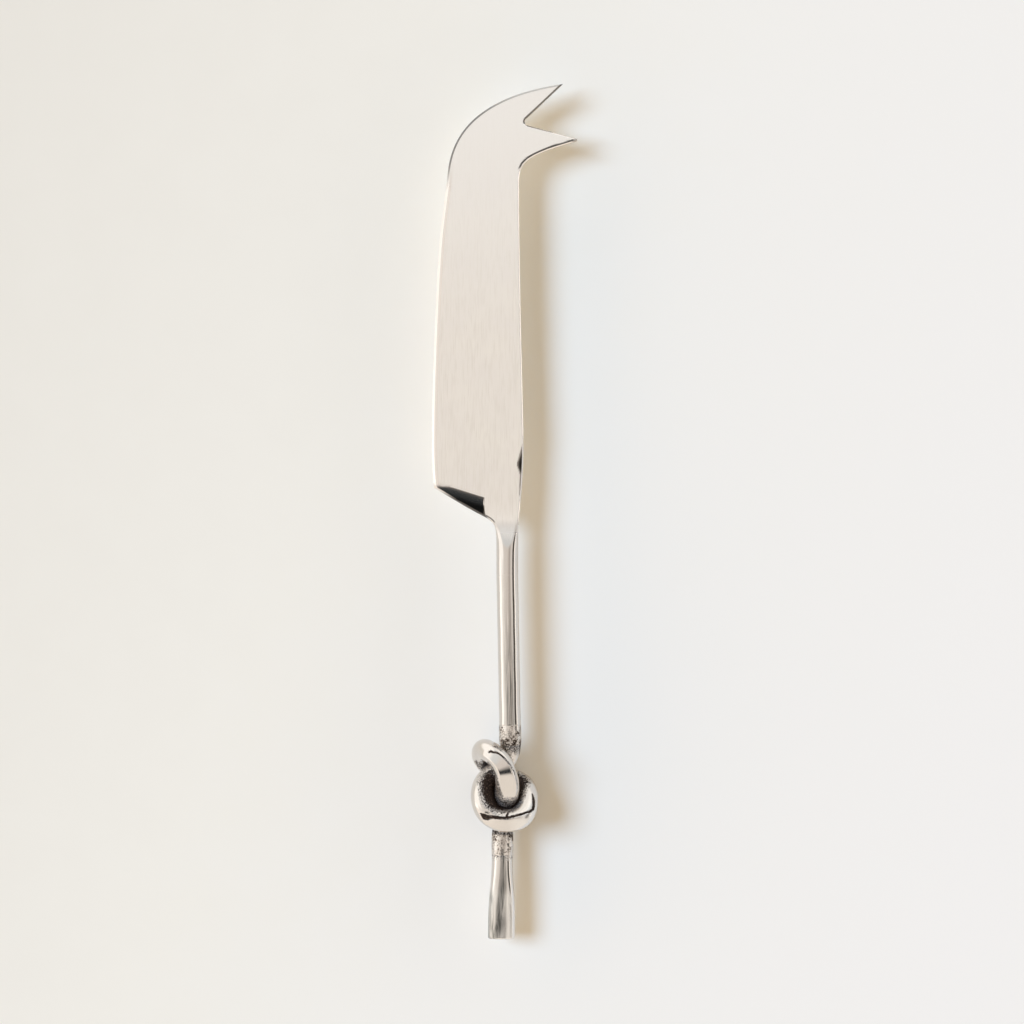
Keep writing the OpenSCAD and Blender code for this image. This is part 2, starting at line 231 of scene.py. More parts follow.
# The sides are fully rounded on the neck, and the blade's own edges have a small chamfer, which is wider
# on the heel's side.
round_r = smooth_table(y, [(-2, HANDLE_R), (3, HANDLE_R), (6.2, 3.03), (8.4, 2.82), (9.8, 2.48),
                           (11.2, 1.95), (12.5, 1.4), (13.4, 1.05), (14.5, 0.7), (16, 0.42), (19, CHAMFER),
                           (24, CHAMFER), (200, CHAMFER)])
rim_share = 1 - np.clip(to_side / round_r, 0, 1)
rounding = round_r * (1 - np.sqrt(np.maximum(0, 1 - rim_share**2)))
chamfer = CHAMFER + 0.12 * ease(-x, 4, 7)
rounding += (np.maximum(0, chamfer - to_side) - rounding) * ease(y, 13.5, 18)
# The cutting edge is ground steeply over its last half millimetre, with a shallow run-in behind. The
# grinding starts above the heel's corner, and is lighter round the belly, with no run-in.
belly = ease(y, 106, 116)
bevel = lesser(EDGE_HALF_T + BEVEL_SLOPE * to_edge + 0.34 * belly,
               RUN_IN_HALF_T + RUN_IN_SLOPE * to_edge + 0.4 * belly, CREASE)
bevel += 0.8 * (1 - ease(y, 24.9, 25.5))
ground_face = lesser(face, bevel, CREASE)
back = ground_face - rounding

# Heel facet: ground ever steeper below a line across the heel, up to where the neck starts.
heel_line = smooth_line([(-24, 24.5), (-20.7, 25.05), (-18.8, 25.45), (-15.8, 24.85), (-11.9, 23.6),
                         (-6.9, 22), (-4, 21.2)], 8)
below = np.maximum(0, np.interp(x, heel_line[:, 0], heel_line[:, 1]) - y) * (y < 27) * np.cos(HEEL_TILT)
heel_stop = np.interp(y, [15.3, 16, 17, 18], [1.8, 0.95, 0.2, 0]) + HEEL_END
heel_share = 1 - ease(x, heel_stop - 0.17, heel_stop + 0.17)
heel_cut = heel_share * (0.115 * below + 0.012 * below**2)
# Spine facet: a steep hollow, shaped like a lens, on the spine's front edge above the neck.
lens_line = smooth_line([(3.75, 20), (3.3, 22.2), (3.36, 24), (3.46, 26.6), (3.5, 28.2), (3.2, 29.3),
                         (2.68, 30.2), (2.62, 31.5), (3.15, 32.9), (3.8, 34.9), (4.3, 37.6), (4.7, 40)], 8)
in_lens = np.maximum(0, x - np.interp(y, lens_line[:, 1], lens_line[:, 0])) * (y > 20) * (y < 40)
spine_cut = SPINE_SLOPE * in_lens**2 / (in_lens + 0.04)
front = ground_face - np.minimum(heel_cut, HEEL_DEEPEST) - np.minimum(spine_cut, SPINE_DEEPEST) - rounding

# The two faces, the walls around the rim, and the spigot's rings below the neck's end.
top = np.column_stack([plan, np.maximum(front, LEAST_T - back)])
under = np.column_stack([plan, -back])
rim_left = np.arange(rows) * columns
rim_right = rim_left + columns - 1
walls = [np.stack([r[:-1], r[1:], r[1:] + len(top), r[:-1] + len(top)], 1) for r in (rim_left, rim_right)]
end_ring = np.vstack([top[:columns], under[:columns][::-1]])
unit_ring = end_ring[:, [0, 2]] / HANDLE_R
spigot_rings = [np.column_stack([unit_ring[:, 0] * r, np.full(len(unit_ring), h), unit_ring[:, 1] * r])
                for r, h in ((HANDLE_R, 0), (SPIGOT_R, 0), (SPIGOT_R, -SPIGOT_L + 0.3),
                             (SPIGOT_R - 0.3, -SPIGOT_L), (0, -SPIGOT_L))]
points = np.vstack([top, under, *spigot_rings])
faces = np.vstack([grid_faces(rows, columns), grid_faces(rows, columns, first=len(top)), *walls,
                   grid_faces(len(spigot_rings), len(unit_ring), closed=True, first=2 * len(top))])

# Where the surface is ground bright instead of brushed: the facets, the bevel and more faintly its run-in,
# the chamfers, and the neck.
facet = np.clip(np.maximum(heel_cut / 0.025, spine_cut / 0.05), 0, 1)
cut_edges = np.maximum(ease(-to_edge, -0.57, -0.52), 0.75 * ease(-to_edge, -1.6, -1.2)) * (1 - belly)
bright = np.maximum.reduce([cut_edges, ease(chamfer - to_side, -0.04, 0.02) * (y > 14), ease(-y, -15.5, -9)])
# Where it is dark: painted shade and painted reflections of the dark room on the belly's bevel, the
# sides of the fork, the heel facet's borders and its lower part, the lens, a line along the heel's inner
# corner, and faintly the neck. A scratch by the fork's root is dark too.
# Painted reflection: the belly's bevel is dark.
belly_dark_reflection = 0.8 * belly * ease(-to_edge, -0.62, -0.4) * (0.55 + 0.45 * ease(-y, -136, -128))
fork = right_line[right_line[:, 1] > 126.5]
to_fork, to_under = distance_to(plan, fork), distance_to(plan, np.array(UNDER_PRONG[2:]))
# Painted shade along the steep sides of the fork.
prong = np.maximum(0.85 * ease(-to_fork, -0.5, -0.4),
                   (0.95 - 0.4 * ease(x, 18, 19)) * ease(-to_under, -0.85, -0.7)
                   * ease(to_under + 0.3 * ease(x, 17.8, 19), 0.22, 0.34) * ease(y, 113.2, 114.4))
to_scratch = distance_to(plan, np.array([(5.7, 125.8), (12.5, 124)]))
prong = np.maximum(prong, 0.35 * ease(-to_scratch, -0.45, -0.3))
# Painted reflection of the dark room on the heel facet's borders and its lower part.
heel_dark = np.maximum(0.8 * heel_share * (1 - heel_share) * 4 * (below > 0.15),
                       0.9 * heel_share * ease(below, 1.4, 3.2))
# Painted reflection of the dark room in the lens.
lens_dark = ease(spine_cut, 0.004, 0.03) * ease(to_side, 0.3, 0.42) * (0.68 + 1.1 * ease(in_lens, 0.25, 1.1))
# Painted shade along the heel's inner corner, and faintly on the neck.
corner_dark = (0.85 * ease(-np.abs(to_side - 0.56), -0.24, -0.1) * ease(-x, 3.2, 3.8)
               * (1 - ease(-x, 6.6, 7.2)) * (y < 20))
neck_dark = 0.18 * ease(-y, -16, -13.5)
darkened = np.maximum.reduce([belly_dark_reflection, prong, heel_dark, lens_dark, corner_dark, neck_dark])
on_spigot = np.zeros(len(points) - 2 * len(top))
blade = make_piece(
    "forked_blade", points, faces,
    {"bright": np.concatenate([np.maximum(bright, facet), bright, on_spigot + 1]),
     "darkened": np.concatenate([darkened, belly_dark_reflection, on_spigot])},
    points[:, :2] / 100)


def paint(code):
    """A colour written as sRGB hex, turned linear: c/12.92 below 0.04045, else ((c+0.055)/1.055)^2.4."""
    c = np.array([int(code[k:k + 2], 16) for k in (1, 3, 5)]) / 255
    return (*np.where(c <= 0.04045, c / 12.92, ((c + 0.055) / 1.055) ** 2.4), 1.0)


def feed(node, inputs):
    """Fills a node's inputs with values or links. A node stands for the first of its outputs in use."""
    for socket, value in inputs.items():
        if isinstance(value, bpy.types.Node):
            value = next(output for output in value.outputs if output.enabled)
        if isinstance(value, bpy.types.NodeSocket):
            node.id_data.links.new(value, node.inputs[socket])
        else:
            node.inputs[socket].default_value = value


def add_node(tree, kind, inputs=None, stops=None, **settings):
    """Adds a node, sets its settings, feeds its inputs, and gives a ramp its stops of place and colour."""
    node = tree.nodes.new(kind)
    for word, value in settings.items():
        setattr(node, word, value)
    feed(node, inputs or {})
    if stops:
        ramp = node.color_ramp
        while len(ramp.elements) < len(stops):
            ramp.elements.new(0.5)
        for element, (place, colour) in zip(ramp.elements, stops):
            element.position = place
            element.color = (*colour, 1)[:4] if isinstance(colour, tuple) else (colour, colour, colour, 1)
    return node


def new_finish(name):
    """An empty material with its shader and output."""
    finish = bpy.data.materials.new(name)
    finish.use_nodes = True
    finish.node_tree.nodes.clear()
    shader = add_node(finish.node_tree, "ShaderNodeBsdfPrincipled")
    add_node(finish.node_tree, "ShaderNodeOutputMaterial", {"Surface": shader})
    return finish, finish.node_tree, shader


# Satin brushed stainless steel: fine scratches along the blade spread the light across it, so the face
# looks even, pale and slightly warm, and only the ground facets and the bevel mirror the room sharply.
satin_steel, tree, shader = new_finish("satin_brushed_stainless_steel")
place = add_node(tree, "ShaderNodeTexCoord").outputs["Object"]
# Brush scratches are 0.05 mm apart in life; 0.3 mm across and 5 mm long is as fine as the render shows.
scratch_way = add_node(tree, "ShaderNodeMapping", {"Vector": place, "Scale": (3300, 200, 3300)})
scratches = add_node(tree, "ShaderNodeTexNoise", {"Vector": scratch_way, "Scale": 1.0})
# Slow clouds of 12 mm where the hand pressed harder on the belt.
clouds = add_node(tree, "ShaderNodeTexNoise", {"Vector": place, "Scale": 80.0})
bright_here, dark_here = [add_node(tree, "ShaderNodeAttribute", attribute_name=name).outputs["Fac"]
                          for name in ("bright", "darkened")]
brushed = add_node(tree, "ShaderNodeMix",
                   {0: clouds, 6: paint("#F8F4F2"), 7: paint("#FFFCF6")}, data_type="RGBA")
clear = add_node(tree, "ShaderNodeMapRange",
                 {"Value": scratches, "From Min": 0.3, "From Max": 0.55})
grained = add_node(tree, "ShaderNodeMix", {0: clear, 6: paint("#F5F1EC"), 7: brushed},
                   data_type="RGBA")
# The face is paler towards the tip.
up_blade = add_node(tree, "ShaderNodeSeparateXYZ", {0: place})
tipward = add_node(tree, "ShaderNodeMapRange",
                   {"Value": up_blade.outputs["Y"], "From Min": 0.05, "From Max": 0.11, "To Max": 0.85})
paler = add_node(tree, "ShaderNodeMix", {0: tipward, 6: grained, 7: paint("#FFFFFF")},
                 data_type="RGBA")
ground = add_node(tree, "ShaderNodeMix", {0: bright_here, 6: paler, 7: paint("#ECE6E1")},
                  data_type="RGBA")
# The painted shade and reflections, and the scratch, are a dark grey.
painted_shade_and_scratch = add_node(tree, "ShaderNodeMix", {0: dark_here, 6: ground, 7: paint("#4A4642")},
                     data_type="RGBA")
# Beyond 1 the darkened value goes on to near black: the painted reflection of the dark room in the lens.
beyond = add_node(tree, "ShaderNodeMath", {0: dark_here, 1: 1.0}, operation="SUBTRACT", use_clamp=True)
coloured = add_node(tree, "ShaderNodeMix",
                    {0: beyond, 6: painted_shade_and_scratch, 7: paint("#0C0D0E")}, data_type="RGBA")
roughness = add_node(tree, "ShaderNodeMapRange", {"Value": bright_here, "To Min": 0.5, "To Max": 0.12})
grain = add_node(tree, "ShaderNodeBump",
                 {"Height": scratches, "Strength": 0.25, "Distance": 0.00002})
sideways = add_node(tree, "ShaderNodeTangent", direction_type="UV_MAP", uv_map="lay")
shader.inputs["Metallic"].default_value = 1.0
shader.inputs["Anisotropic"].default_value = 0.6
feed(shader, {"Base Color": coloured, "Roughness": roughness, "Normal": grain, "Tangent": sideways})
blade.data.materials.append(satin_steel)
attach(blade, "root")
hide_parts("blade")


# ------------------------------------------------------------------
# SHAFT. A straight round rod of stainless steel, hand polished, between the blade and the knot. It is
# turned to a point where the weld sits and bored at the top for the blade's spigot. It leans one degree.
SHAFT_L = 44.8
HANDLE_LEAN = np.radians(1.04)
SOCKET_R, SOCKET_L = 1.65, 9.5
WELD_ROOT_R = 1.2
UPPER_WELD_L = 5.6
ROD_SIDES = 96
ROD_TURN = np.arange(ROD_SIDES) * 2 * np.pi / ROD_SIDES


def leaned(points, angle, about=(0, 0, 0)):
    """Turns points about the upright line through a place: x' = x cos - y sin, y' = x sin + y cos."""
    c, s = np.cos(angle), np.sin(angle)
    return (points - about) @ np.array([[c, s, 0], [-s, c, 0], [0, 0, 1]]) + about


def fine_profile(corners, spacing):
    """Corners of a profile with further places between them, no more than the spacing apart."""
    corners = np.asarray(corners, float)
    lengths = np.linalg.norm(np.diff(corners, axis=0), axis=1)
    counts = np.maximum(1, np.ceil(lengths / spacing)).astype(int)
    parts = [a + (b - a) * (np.arange(n) / n)[:, None] for a, b, n in zip(corners[:-1], corners[1:], counts)]
    return np.vstack([*parts, corners[-1:]])


def hand_waves(angle, travel):
    """Shallow unevenness left by polishing by hand, in millimetres: the product of a wave of two lobes
    round the rod and one along it, and a finer wave of three lobes that winds the other way."""
    return 0.016 * (1.6 + np.sin(2 * angle + 0.21 * travel) * np.sin(0.33 * travel + 0.8)
                    + 0.6 * np.sin(3 * angle - 0.57 * travel + 2))


def turned(profile):
    """A surface of revolution about Y: each place (r, h) of the profile gives the ring
    (r sin a, h, r cos a), its radius less by the hand's waves on the outside, away from the blade."""
    r, h = profile[:, :1] + 0 * ROD_TURN, profile[:, 1:] + 0 * ROD_TURN
    r = r - hand_waves(ROD_TURN, h) * (r > 0.6 * HANDLE_R) * ease(-h, 0, 5)
    return np.stack([r * np.sin(ROD_TURN), h, r * np.cos(ROD_TURN)], -1).reshape(-1, 3)


profile = fine_profile([
    (0, -SHAFT_L), (WELD_ROOT_R, -SHAFT_L), (HANDLE_R, -SHAFT_L + UPPER_WELD_L / 2),
    (HANDLE_R, 0), (SOCKET_R, 0), (SOCKET_R, -SOCKET_L), (0, -SOCKET_L)], 0.35)
points = turned(profile)
# Dark streaks are painted along the crown of the rod, ever more towards the knot: grain of the drawn rod,
# and a painted darker reflection of the grey ceiling.
crown = np.exp(-(((points[:, 0] - 0.1) / 1.3) ** 2)) * (points[:, 2] > 0)
crown_streak_and_reflection = crown * np.interp(-points[:, 1], [0, 8, 18, 25, SHAFT_L], [0.05, 0.12, 0.6, 0.95, 1.25])
shaft_faces = grid_faces(len(profile), ROD_SIDES, closed=True)
shaft = make_piece("shaft_rod", leaned(points, HANDLE_LEAN), shaft_faces, {"streak_and_reflection": crown_streak_and_reflection})

# Hand polished stainless steel: it mirrors the room with slight waves, and keeps a dark brown patina with
# coarse grain wherever the polishing wheel couldn't reach. The scale_and_shade value says where that is,
# and also where painted shade and painted dark reflection lines take the same dark colours; the
# streak_and_reflection value how dark the grey streaks and painted reflections are, and the satin value
# where a belt took the mirror off again.
polished_steel, tree, shader = new_finish("hand_polished_stainless_steel")
place = add_node(tree, "ShaderNodeTexCoord").outputs["Object"]
scale_and_shade, streak_and_reflection, satin = [add_node(tree, "ShaderNodeAttribute", attribute_name=name).outputs["Fac"]
                         for name in ("scale_and_shade", "streak_and_reflection", "satin")]
# Pits and bright high points are 0.2 to 0.4 mm across.
pits = add_node(tree, "ShaderNodeTexNoise", {"Vector": place, "Scale": 3000.0, "Roughness": 0.6})
# The edge of the patina wanders over 2 mm.
wander = add_node(tree, "ShaderNodeTexNoise", {"Vector": place, "Scale": 500.0})
spread = add_node(tree, "ShaderNodeMath", {0: wander, 1: 0.5}, operation="SUBTRACT")
border = add_node(tree, "ShaderNodeMath", {0: spread, 1: 0.6, 2: scale_and_shade}, operation="MULTIPLY_ADD")
speckle = add_node(tree, "ShaderNodeMath", {0: pits, 1: 0.5}, operation="SUBTRACT")
speckled = add_node(tree, "ShaderNodeMath", {0: speckle, 1: 6.0, 2: border}, operation="MULTIPLY_ADD")
near_scale_and_shade = add_node(tree, "ShaderNodeMath", {0: scale_and_shade, 1: 6.0}, operation="MULTIPLY", use_clamp=True)
cover = add_node(tree, "ShaderNodeMath", {0: speckled, 1: near_scale_and_shade}, operation="MULTIPLY", use_clamp=True)
polished = add_node(tree, "ShaderNodeMix", {0: wander, 6: paint("#DAD4CE"), 7: paint("#DED9D4")},
                    data_type="RGBA")
# The streaks are grain of the drawn rod, lengthwise: 0.3 mm wide and 12 mm long.
streak_way = add_node(tree, "ShaderNodeMapping", {"Vector": place, "Scale": (3300, 85, 3300)})
streaks = add_node(tree, "ShaderNodeTexNoise", {"Vector": streak_way, "Scale": 1.0})
streak_here = add_node(tree, "ShaderNodeMapRange", {"Value": streaks, "From Min": 0.35, "From Max": 0.65})
streaked = add_node(tree, "ShaderNodeMath", {0: streak_here, 1: streak_and_reflection}, operation="MULTIPLY",
                    use_clamp=True)
# The belt left the steel paler.
belted = add_node(tree, "ShaderNodeMix", {0: satin, 6: polished, 7: paint("#EAE8E5")}, data_type="RGBA")
# Grey streaks, which also paint the darker reflections on the crown of the shaft and down the tail.
drawn = add_node(tree, "ShaderNodeMix", {0: streaked, 6: belted, 7: paint("#868783")}, data_type="RGBA")
# The scale's dark browns, which also colour the painted shade and the painted dark reflection lines.
scale = add_node(tree, "ShaderNodeValToRGB", {"Fac": pits},
                 [(0.35, paint("#57463B")), (0.45, paint("#241A15")), (1.0, paint("#0D0908"))])
coloured = add_node(tree, "ShaderNodeMix", {0: cover, 6: drawn, 7: scale}, data_type="RGBA")
bare_roughness = add_node(tree, "ShaderNodeMapRange", {"Value": satin, "To Min": 0.13, "To Max": 0.31})
roughness = add_node(tree, "ShaderNodeMapRange", {"Value": cover, "To Min": bare_roughness, "To Max": 0.5})
depth = add_node(tree, "ShaderNodeMath", {0: near_scale_and_shade, 1: 0.8}, operation="MULTIPLY")
grain = add_node(tree, "ShaderNodeBump", {"Height": pits, "Strength": depth, "Distance": 0.00012})
# The scale, and the painted shade and reflection lines in its colours, are no metal, and hardly shine.
shader.inputs["Specular IOR Level"].default_value = 0.15
bare = add_node(tree, "ShaderNodeMath", {0: 1.0, 1: cover}, operation="SUBTRACT")
feed(shader, {"Metallic": bare, "Base Color": coloured, "Roughness": roughness, "Normal": grain})
shaft.data.materials.append(polished_steel)
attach(shaft, "root")
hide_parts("shaft")


# ------------------------------------------------------------------
# UPPER WELD. A ring of weld metal in the groove between the shaft and the knotted rod, with an uneven
# bead. It was brushed over but left pitted and dark.
KNOT_R = 3.0
WELD_CROWN = 0.12
WELD_ROWS = 41


def weld_bead(length, upper_r, lower_r, seed):
    """A ring about Y: a V-shaped root inside and a low crown outside, whose height wanders round the rod
    and along it by two waves and a finer one."""
    a, h = np.meshgrid(ROD_TURN, np.linspace(0.5, -0.5, WELD_ROWS))
    crowned = [lower_r, lower_r + WELD_CROWN, upper_r + WELD_CROWN, upper_r]
    waves = (np.sin(3 * a + 9 * h + seed) * np.sin(2 * a - 6 * h + 2 * seed)
             + 0.6 * np.sin(7 * a + 23 * h + seed))
    outer = np.interp(h, [-0.5, -0.25, 0.25, 0.5], crowned) - 0.022 * (1.6 + waves) * np.cos(np.pi * h)
    inner = np.interp(h, [-0.5, 0, 0.5], [lower_r, WELD_ROOT_R, upper_r])
    r, h = np.vstack([outer, inner[::-1]]), np.vstack([h, h[::-1]]) * length
    return np.stack([r * np.sin(a[0]), h, r * np.cos(a[0])], -1).reshape(-1, 3)


points = weld_bead(UPPER_WELD_L, HANDLE_R, KNOT_R, 1.0) - (0, SHAFT_L, 0)
weld_faces = grid_faces(2 * WELD_ROWS, ROD_SIDES, closed=True)
upper_weld = make_piece("upper_weld_bead", leaned(points, HANDLE_LEAN), weld_faces,
                        {"soot": ease(-points[:, 1], SHAFT_L - 3.4, SHAFT_L + 2.2)})

# Pitted weld steel: a grain of bright points and dark brown pits, with the polish showing between them.
weld_steel, tree, shader = new_finish("pitted_weld_steel")
place = add_node(tree, "ShaderNodeTexCoord").outputs["Object"]
# Pits 0.2 to 0.4 mm across, in blots of 2 mm.
pits = add_node(tree, "ShaderNodeTexNoise", {"Vector": place, "Scale": 2600.0, "Roughness": 0.6})
blots = add_node(tree, "ShaderNodeTexNoise", {"Vector": place, "Scale": 480.0})
soot = add_node(tree, "ShaderNodeAttribute", attribute_name="soot").outputs["Fac"]
sooted = add_node(tree, "ShaderNodeMath", {0: soot, 1: -0.2, 2: blots}, operation="MULTIPLY_ADD")
mixed = add_node(tree, "ShaderNodeMath", {0: sooted, 1: 0.8, 2: pits}, operation="MULTIPLY_ADD")
coloured = add_node(tree, "ShaderNodeValToRGB", {"Fac": mixed},
                    [(0.63, paint("#2A201A")), (0.73, paint("#6E6055")), (0.78, paint("#B9B1A9")),
                     (0.86, paint("#DCD6D0"))])
roughness = add_node(tree, "ShaderNodeMapRange",
                     {"Value": mixed, "From Min": 0.7, "From Max": 0.9, "To Min": 0.45, "To Max": 0.15})
depth = add_node(tree, "ShaderNodeMath", {0: soot, 1: 0.75, 2: 0.15}, operation="MULTIPLY_ADD")
grain = add_node(tree, "ShaderNodeBump", {"Height": pits, "Strength": depth, "Distance": 0.00014})
bare = add_node(tree, "ShaderNodeMapRange", {"Value": mixed, "From Min": 0.64, "From Max": 0.76})
shader.inputs["Specular IOR Level"].default_value = 0.15
feed(shader, {"Metallic": bare, "Base Color": coloured, "Roughness": roughness, "Normal": grain})
upper_weld.data.materials.append(weld_steel)
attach(upper_weld, "root")
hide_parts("upper_weld")


# ------------------------------------------------------------------
# KNOT. The same rod heated and tied in one overhand knot, pointed at both ends for the welds. Its high
# sides are polished, and its hollows keep the dark scale of the fire.
PITCH = 6.16
KNOT_SIDES = 112
LOWER_WELD_L = 5.8
TAIL_LEAN = np.radians(1.7)
UPPER_JOINT = np.array([0, -SHAFT_L, 0])
RING_CENTRE = UPPER_JOINT + PITCH * np.array([-0.29, -2.86, 0])
LOWER_JOINT = RING_CENTRE + PITCH * np.array([-0.15, -2.13, -0.45])
TAIL_WAY = np.array([-np.sin(TAIL_LEAN), -np.cos(TAIL_LEAN), 0])
# The route is in pitches of the knot from the middle of its ring: across, along the handle, and up.
ROUTE = np.array([
    (0.26, 2.1, 0), (0.13, 1.7, 0.02), (-0.38, 1.24, 0.03), (-0.93, 0.74, 0.12), (-1.04, 0, 0.42),
    (-0.77, -0.8, 0.62), (0, -1.1, 0.75), (0.86, -0.9, 0.55), (1.07, -0.05, -0.12),
    (0.9, 0.6, -0.75), (0.35, 0.88, -1.2), (-0.33, 1.12, -1.3), (-0.84, 1.6, -1),
    (-1.05, 2.03, -0.3), (-0.93, 2.3, 0.4), (-0.55, 2.08, 0.95), (-0.05, 1.6, 1.18),
    (0.09, 1, 1.12), (0.14, 0.42, 0.78), (0.02, -0.14, 0.12), (-0.14, -0.62, -0.4), (-0.12, -1.07, -0.46),
    (-0.11, -1.35, -0.45)])
# The camera's height over the middle plane, and the middle of its picture.
CAMERA_UP_MM = 800.0
CENTRE_MM = np.array([2.09, 0]) - SEAM_MM[:2]


def carried_frames(line):
    """A direction across the line at each place, carried along without twist: the one before it, less its
    share along the new heading, made one long again. The second is the cross product of the two."""
    heading = np.gradient(line, axis=0)
    heading /= np.linalg.norm(heading, axis=1)[:, None]
    across = np.empty_like(line)
    side = np.array([1.0, 0, 0])
    for k, way in enumerate(heading):
        side = side - (side @ way) * way
        side /= np.linalg.norm(side)
        across[k] = side
    return heading, across, np.cross(heading, across)


ends = [UPPER_JOINT - (0, UPPER_WELD_L / 2, 0), LOWER_JOINT - TAIL_WAY * LOWER_WELD_L / 2]
route = along_line(smooth_line(np.vstack([ends[0], RING_CENTRE + PITCH * ROUTE, ends[1]]), 22), 500)
# The strands lie over each other where the camera sees them as in the photograph: what is nearer to it is
# drawn in towards the middle of the picture, by its height over the camera's.
travel = np.linspace(0, 1, len(route))
drawn_in = ease(travel, 0, 0.1) * (1 - ease(travel, 0.88, 1))
route[:, :2] -= (drawn_in * route[:, 2] / CAMERA_UP_MM)[:, None] * (route[:, :2] - CENTRE_MM)
# Both ends are pointed, each by three rings.
upper_cone = [ends[0] + (UPPER_JOINT - ends[0]) * t for t in (1, 2 / 3, 1 / 3)]
lower_cone = [ends[1] + (LOWER_JOINT - ends[1]) * t for t in (1 / 3, 2 / 3, 1)]
route = np.vstack([upper_cone, route, lower_cone])
cone_r = WELD_ROOT_R + (KNOT_R - WELD_ROOT_R) * np.array([0, 1, 2]) / 3
radius = np.concatenate([cone_r, np.full(len(route) - 6, KNOT_R), cone_r[::-1]])
heading, across, up = carried_frames(route)
angle = np.arange(KNOT_SIDES) * 2 * np.pi / KNOT_SIDES
length_along = np.concatenate([[0], np.cumsum(np.linalg.norm(np.diff(route, axis=0), axis=1))])
to_places = np.linalg.norm(route[:, None] - (RING_CENTRE + PITCH * ROUTE)[None], axis=2)
passed = length_along[np.argmin(to_places, axis=0)]


def between(first, last, fade):
    """1 on the rod between two numbered places of the route and 0 off it, with soft ends."""
    count = np.interp(length_along, passed, np.arange(len(passed)))
    return ease(count, first - fade, first + fade) * (1 - ease(count, last - fade, last + fade))


# The ring and the strand that dives into it are swollen a little, where they were forced together.
swollen = radius + 0.3 * between(3, 9, 0.8) + 0.2 * between(2.5, 4.8, 0.6) + 0.45 * between(16.9, 21, 0.5)
full_round = radius[:, None] > 2.9
swept_r = swollen[:, None] - hand_waves(angle[None, :], length_along[:, None]) * 1.2 * full_round
out = np.cos(angle)[None, :, None] * across[:, None] + np.sin(angle)[None, :, None] * up[:, None]
outward = route - RING_CENTRE
outward[:, 2] = 0
outward /= np.linalg.norm(outward, axis=1)[:, None]
compass = np.degrees(np.arctan2(outward[:, 1], outward[:, 0])) % 360


def ground_flat(facing, height, share, blend):
    """What grinding a flat across the rod takes off: the radius is held to height / cos(a), with a the
    angle from the way that the flat faces, as far as the share says, and rounded at its borders."""
    toward = np.maximum(np.einsum("pad,pd->pa", out, facing), 0.05)
    return share[:, None] * (lesser(swept_r, height / toward, blend) - swept_r)


# The polishing wheel left one flat along the top strand, and one outside the ring's lower half.
upwards = np.array([0, 0, 1.0]) - heading * heading[:, 2:]
upwards /= np.linalg.norm(upwards, axis=1)[:, None]
tilt = np.radians(22)
facing_out = outward * np.sin(tilt) + np.array([0, 0, np.cos(tilt)])
facing_out -= heading * np.einsum("pd,pd->p", facing_out, heading)[:, None]
facing_out /= np.linalg.norm(facing_out, axis=1)[:, None]
lower_half = ease(compass, 212, 235) * (1 - ease(compass, 282, 310))
swept_r = (swept_r + ground_flat(upwards, 2.42, between(14.2, 18.3, 0.5), 0.06)
           + ground_flat(facing_out, 2.75, between(3.5, 8.5, 0.5) * lower_half, 0.3))


def inside_line(points, line):
    """How deep each point lies inside a line whose places are (x, y, half width): the half width at the
    nearest place of a stretch, less the distance to it, and the most over all stretches."""
    depth = np.full(len(points), -np.inf)
    for a, b in zip(line[:-1], line[1:]):
        way = b[:2] - a[:2]
        t = np.clip(np.sum((points - a[:2]) * way, 1) / np.sum(way * way), 0, 1)
        away = np.hypot(*(points - a[:2] - t[:, None] * way).T)
        depth = np.maximum(depth, a[2] + t * (b[2] - a[2]) - away)
    return depth


def drawn_on(line, low, high):
    """1 on the rod inside a line drawn on it as the camera sees it from above, and 0 off it, with a border
    between the depths low and high."""
    return ease(inside_line(seen_mm, np.array(line)), low, high).reshape(-1, KNOT_SIDES)


# Where the camera sees each point, laid down on the middle plane: its way from the middle of the picture
# grows as the camera's height over its height above the point.
seen_mm = leaned((route[:, None] + swept_r[..., None] * out).reshape(-1, 3), HANDLE_LEAN)
seen_mm = CENTRE_MM + (seen_mm[:, :2] - CENTRE_MM) * (CAMERA_UP_MM / (CAMERA_UP_MM - seen_mm[:, 2:]))
facing_up = out[..., 2] > 0.1
# Dark lines are painted reflections, grooved 0.08 mm into the rod: one round the ring below its hollow,
# and two along the borders of the top strand's flat.
ring_dark_line = drawn_on([
    (-7.43, -66.8, 0.15), (-6.37, -67.65, 0.75), (-5.46, -67.86, 0.65), (-4.24, -67.77, 0.45),
    (-1.81, -67.95, 0.33), (-0.23, -67.9, 0.33), (0.25, -66.5, 0.15), (0.9, -65.95, 0.05),
    (0.25, -66.5, 0.15), (-0.23, -67.9, 0.33), (0.62, -67.86, 0.33), (2.44, -67.4, 0.3),
    (4.57, -66.74, 0.25), (6.39, -66.19, 0.27), (7.24, -65.52, 0.34), (7.42, -64.37, 0.36),
    (7.42, -63.15, 0.33), (7.24, -62.09, 0.2), (7.0, -61.2, 0.05)], -0.12, 0.08)
upper_dark_line = drawn_on([
    (-5.15, -49.49, 0.2), (-4.7, -49.37, 0.25), (-3.03, -49.73, 0.2), (-1.51, -50.55, 0.18),
    (-0.29, -51.76, 0.15), (0.92, -53.28, 0.14), (1.83, -54.8, 0.12), (2.44, -56.47, 0.1),
    (2.81, -58.6, 0.1), (2.9, -59.8, 0.05)], -0.12, 0.08)
fainter_down = np.interp(seen_mm[:, 1], [-60, -54, -50.5, -49], [0.25, 0.4, 0.8, 1]).reshape(-1, KNOT_SIDES)
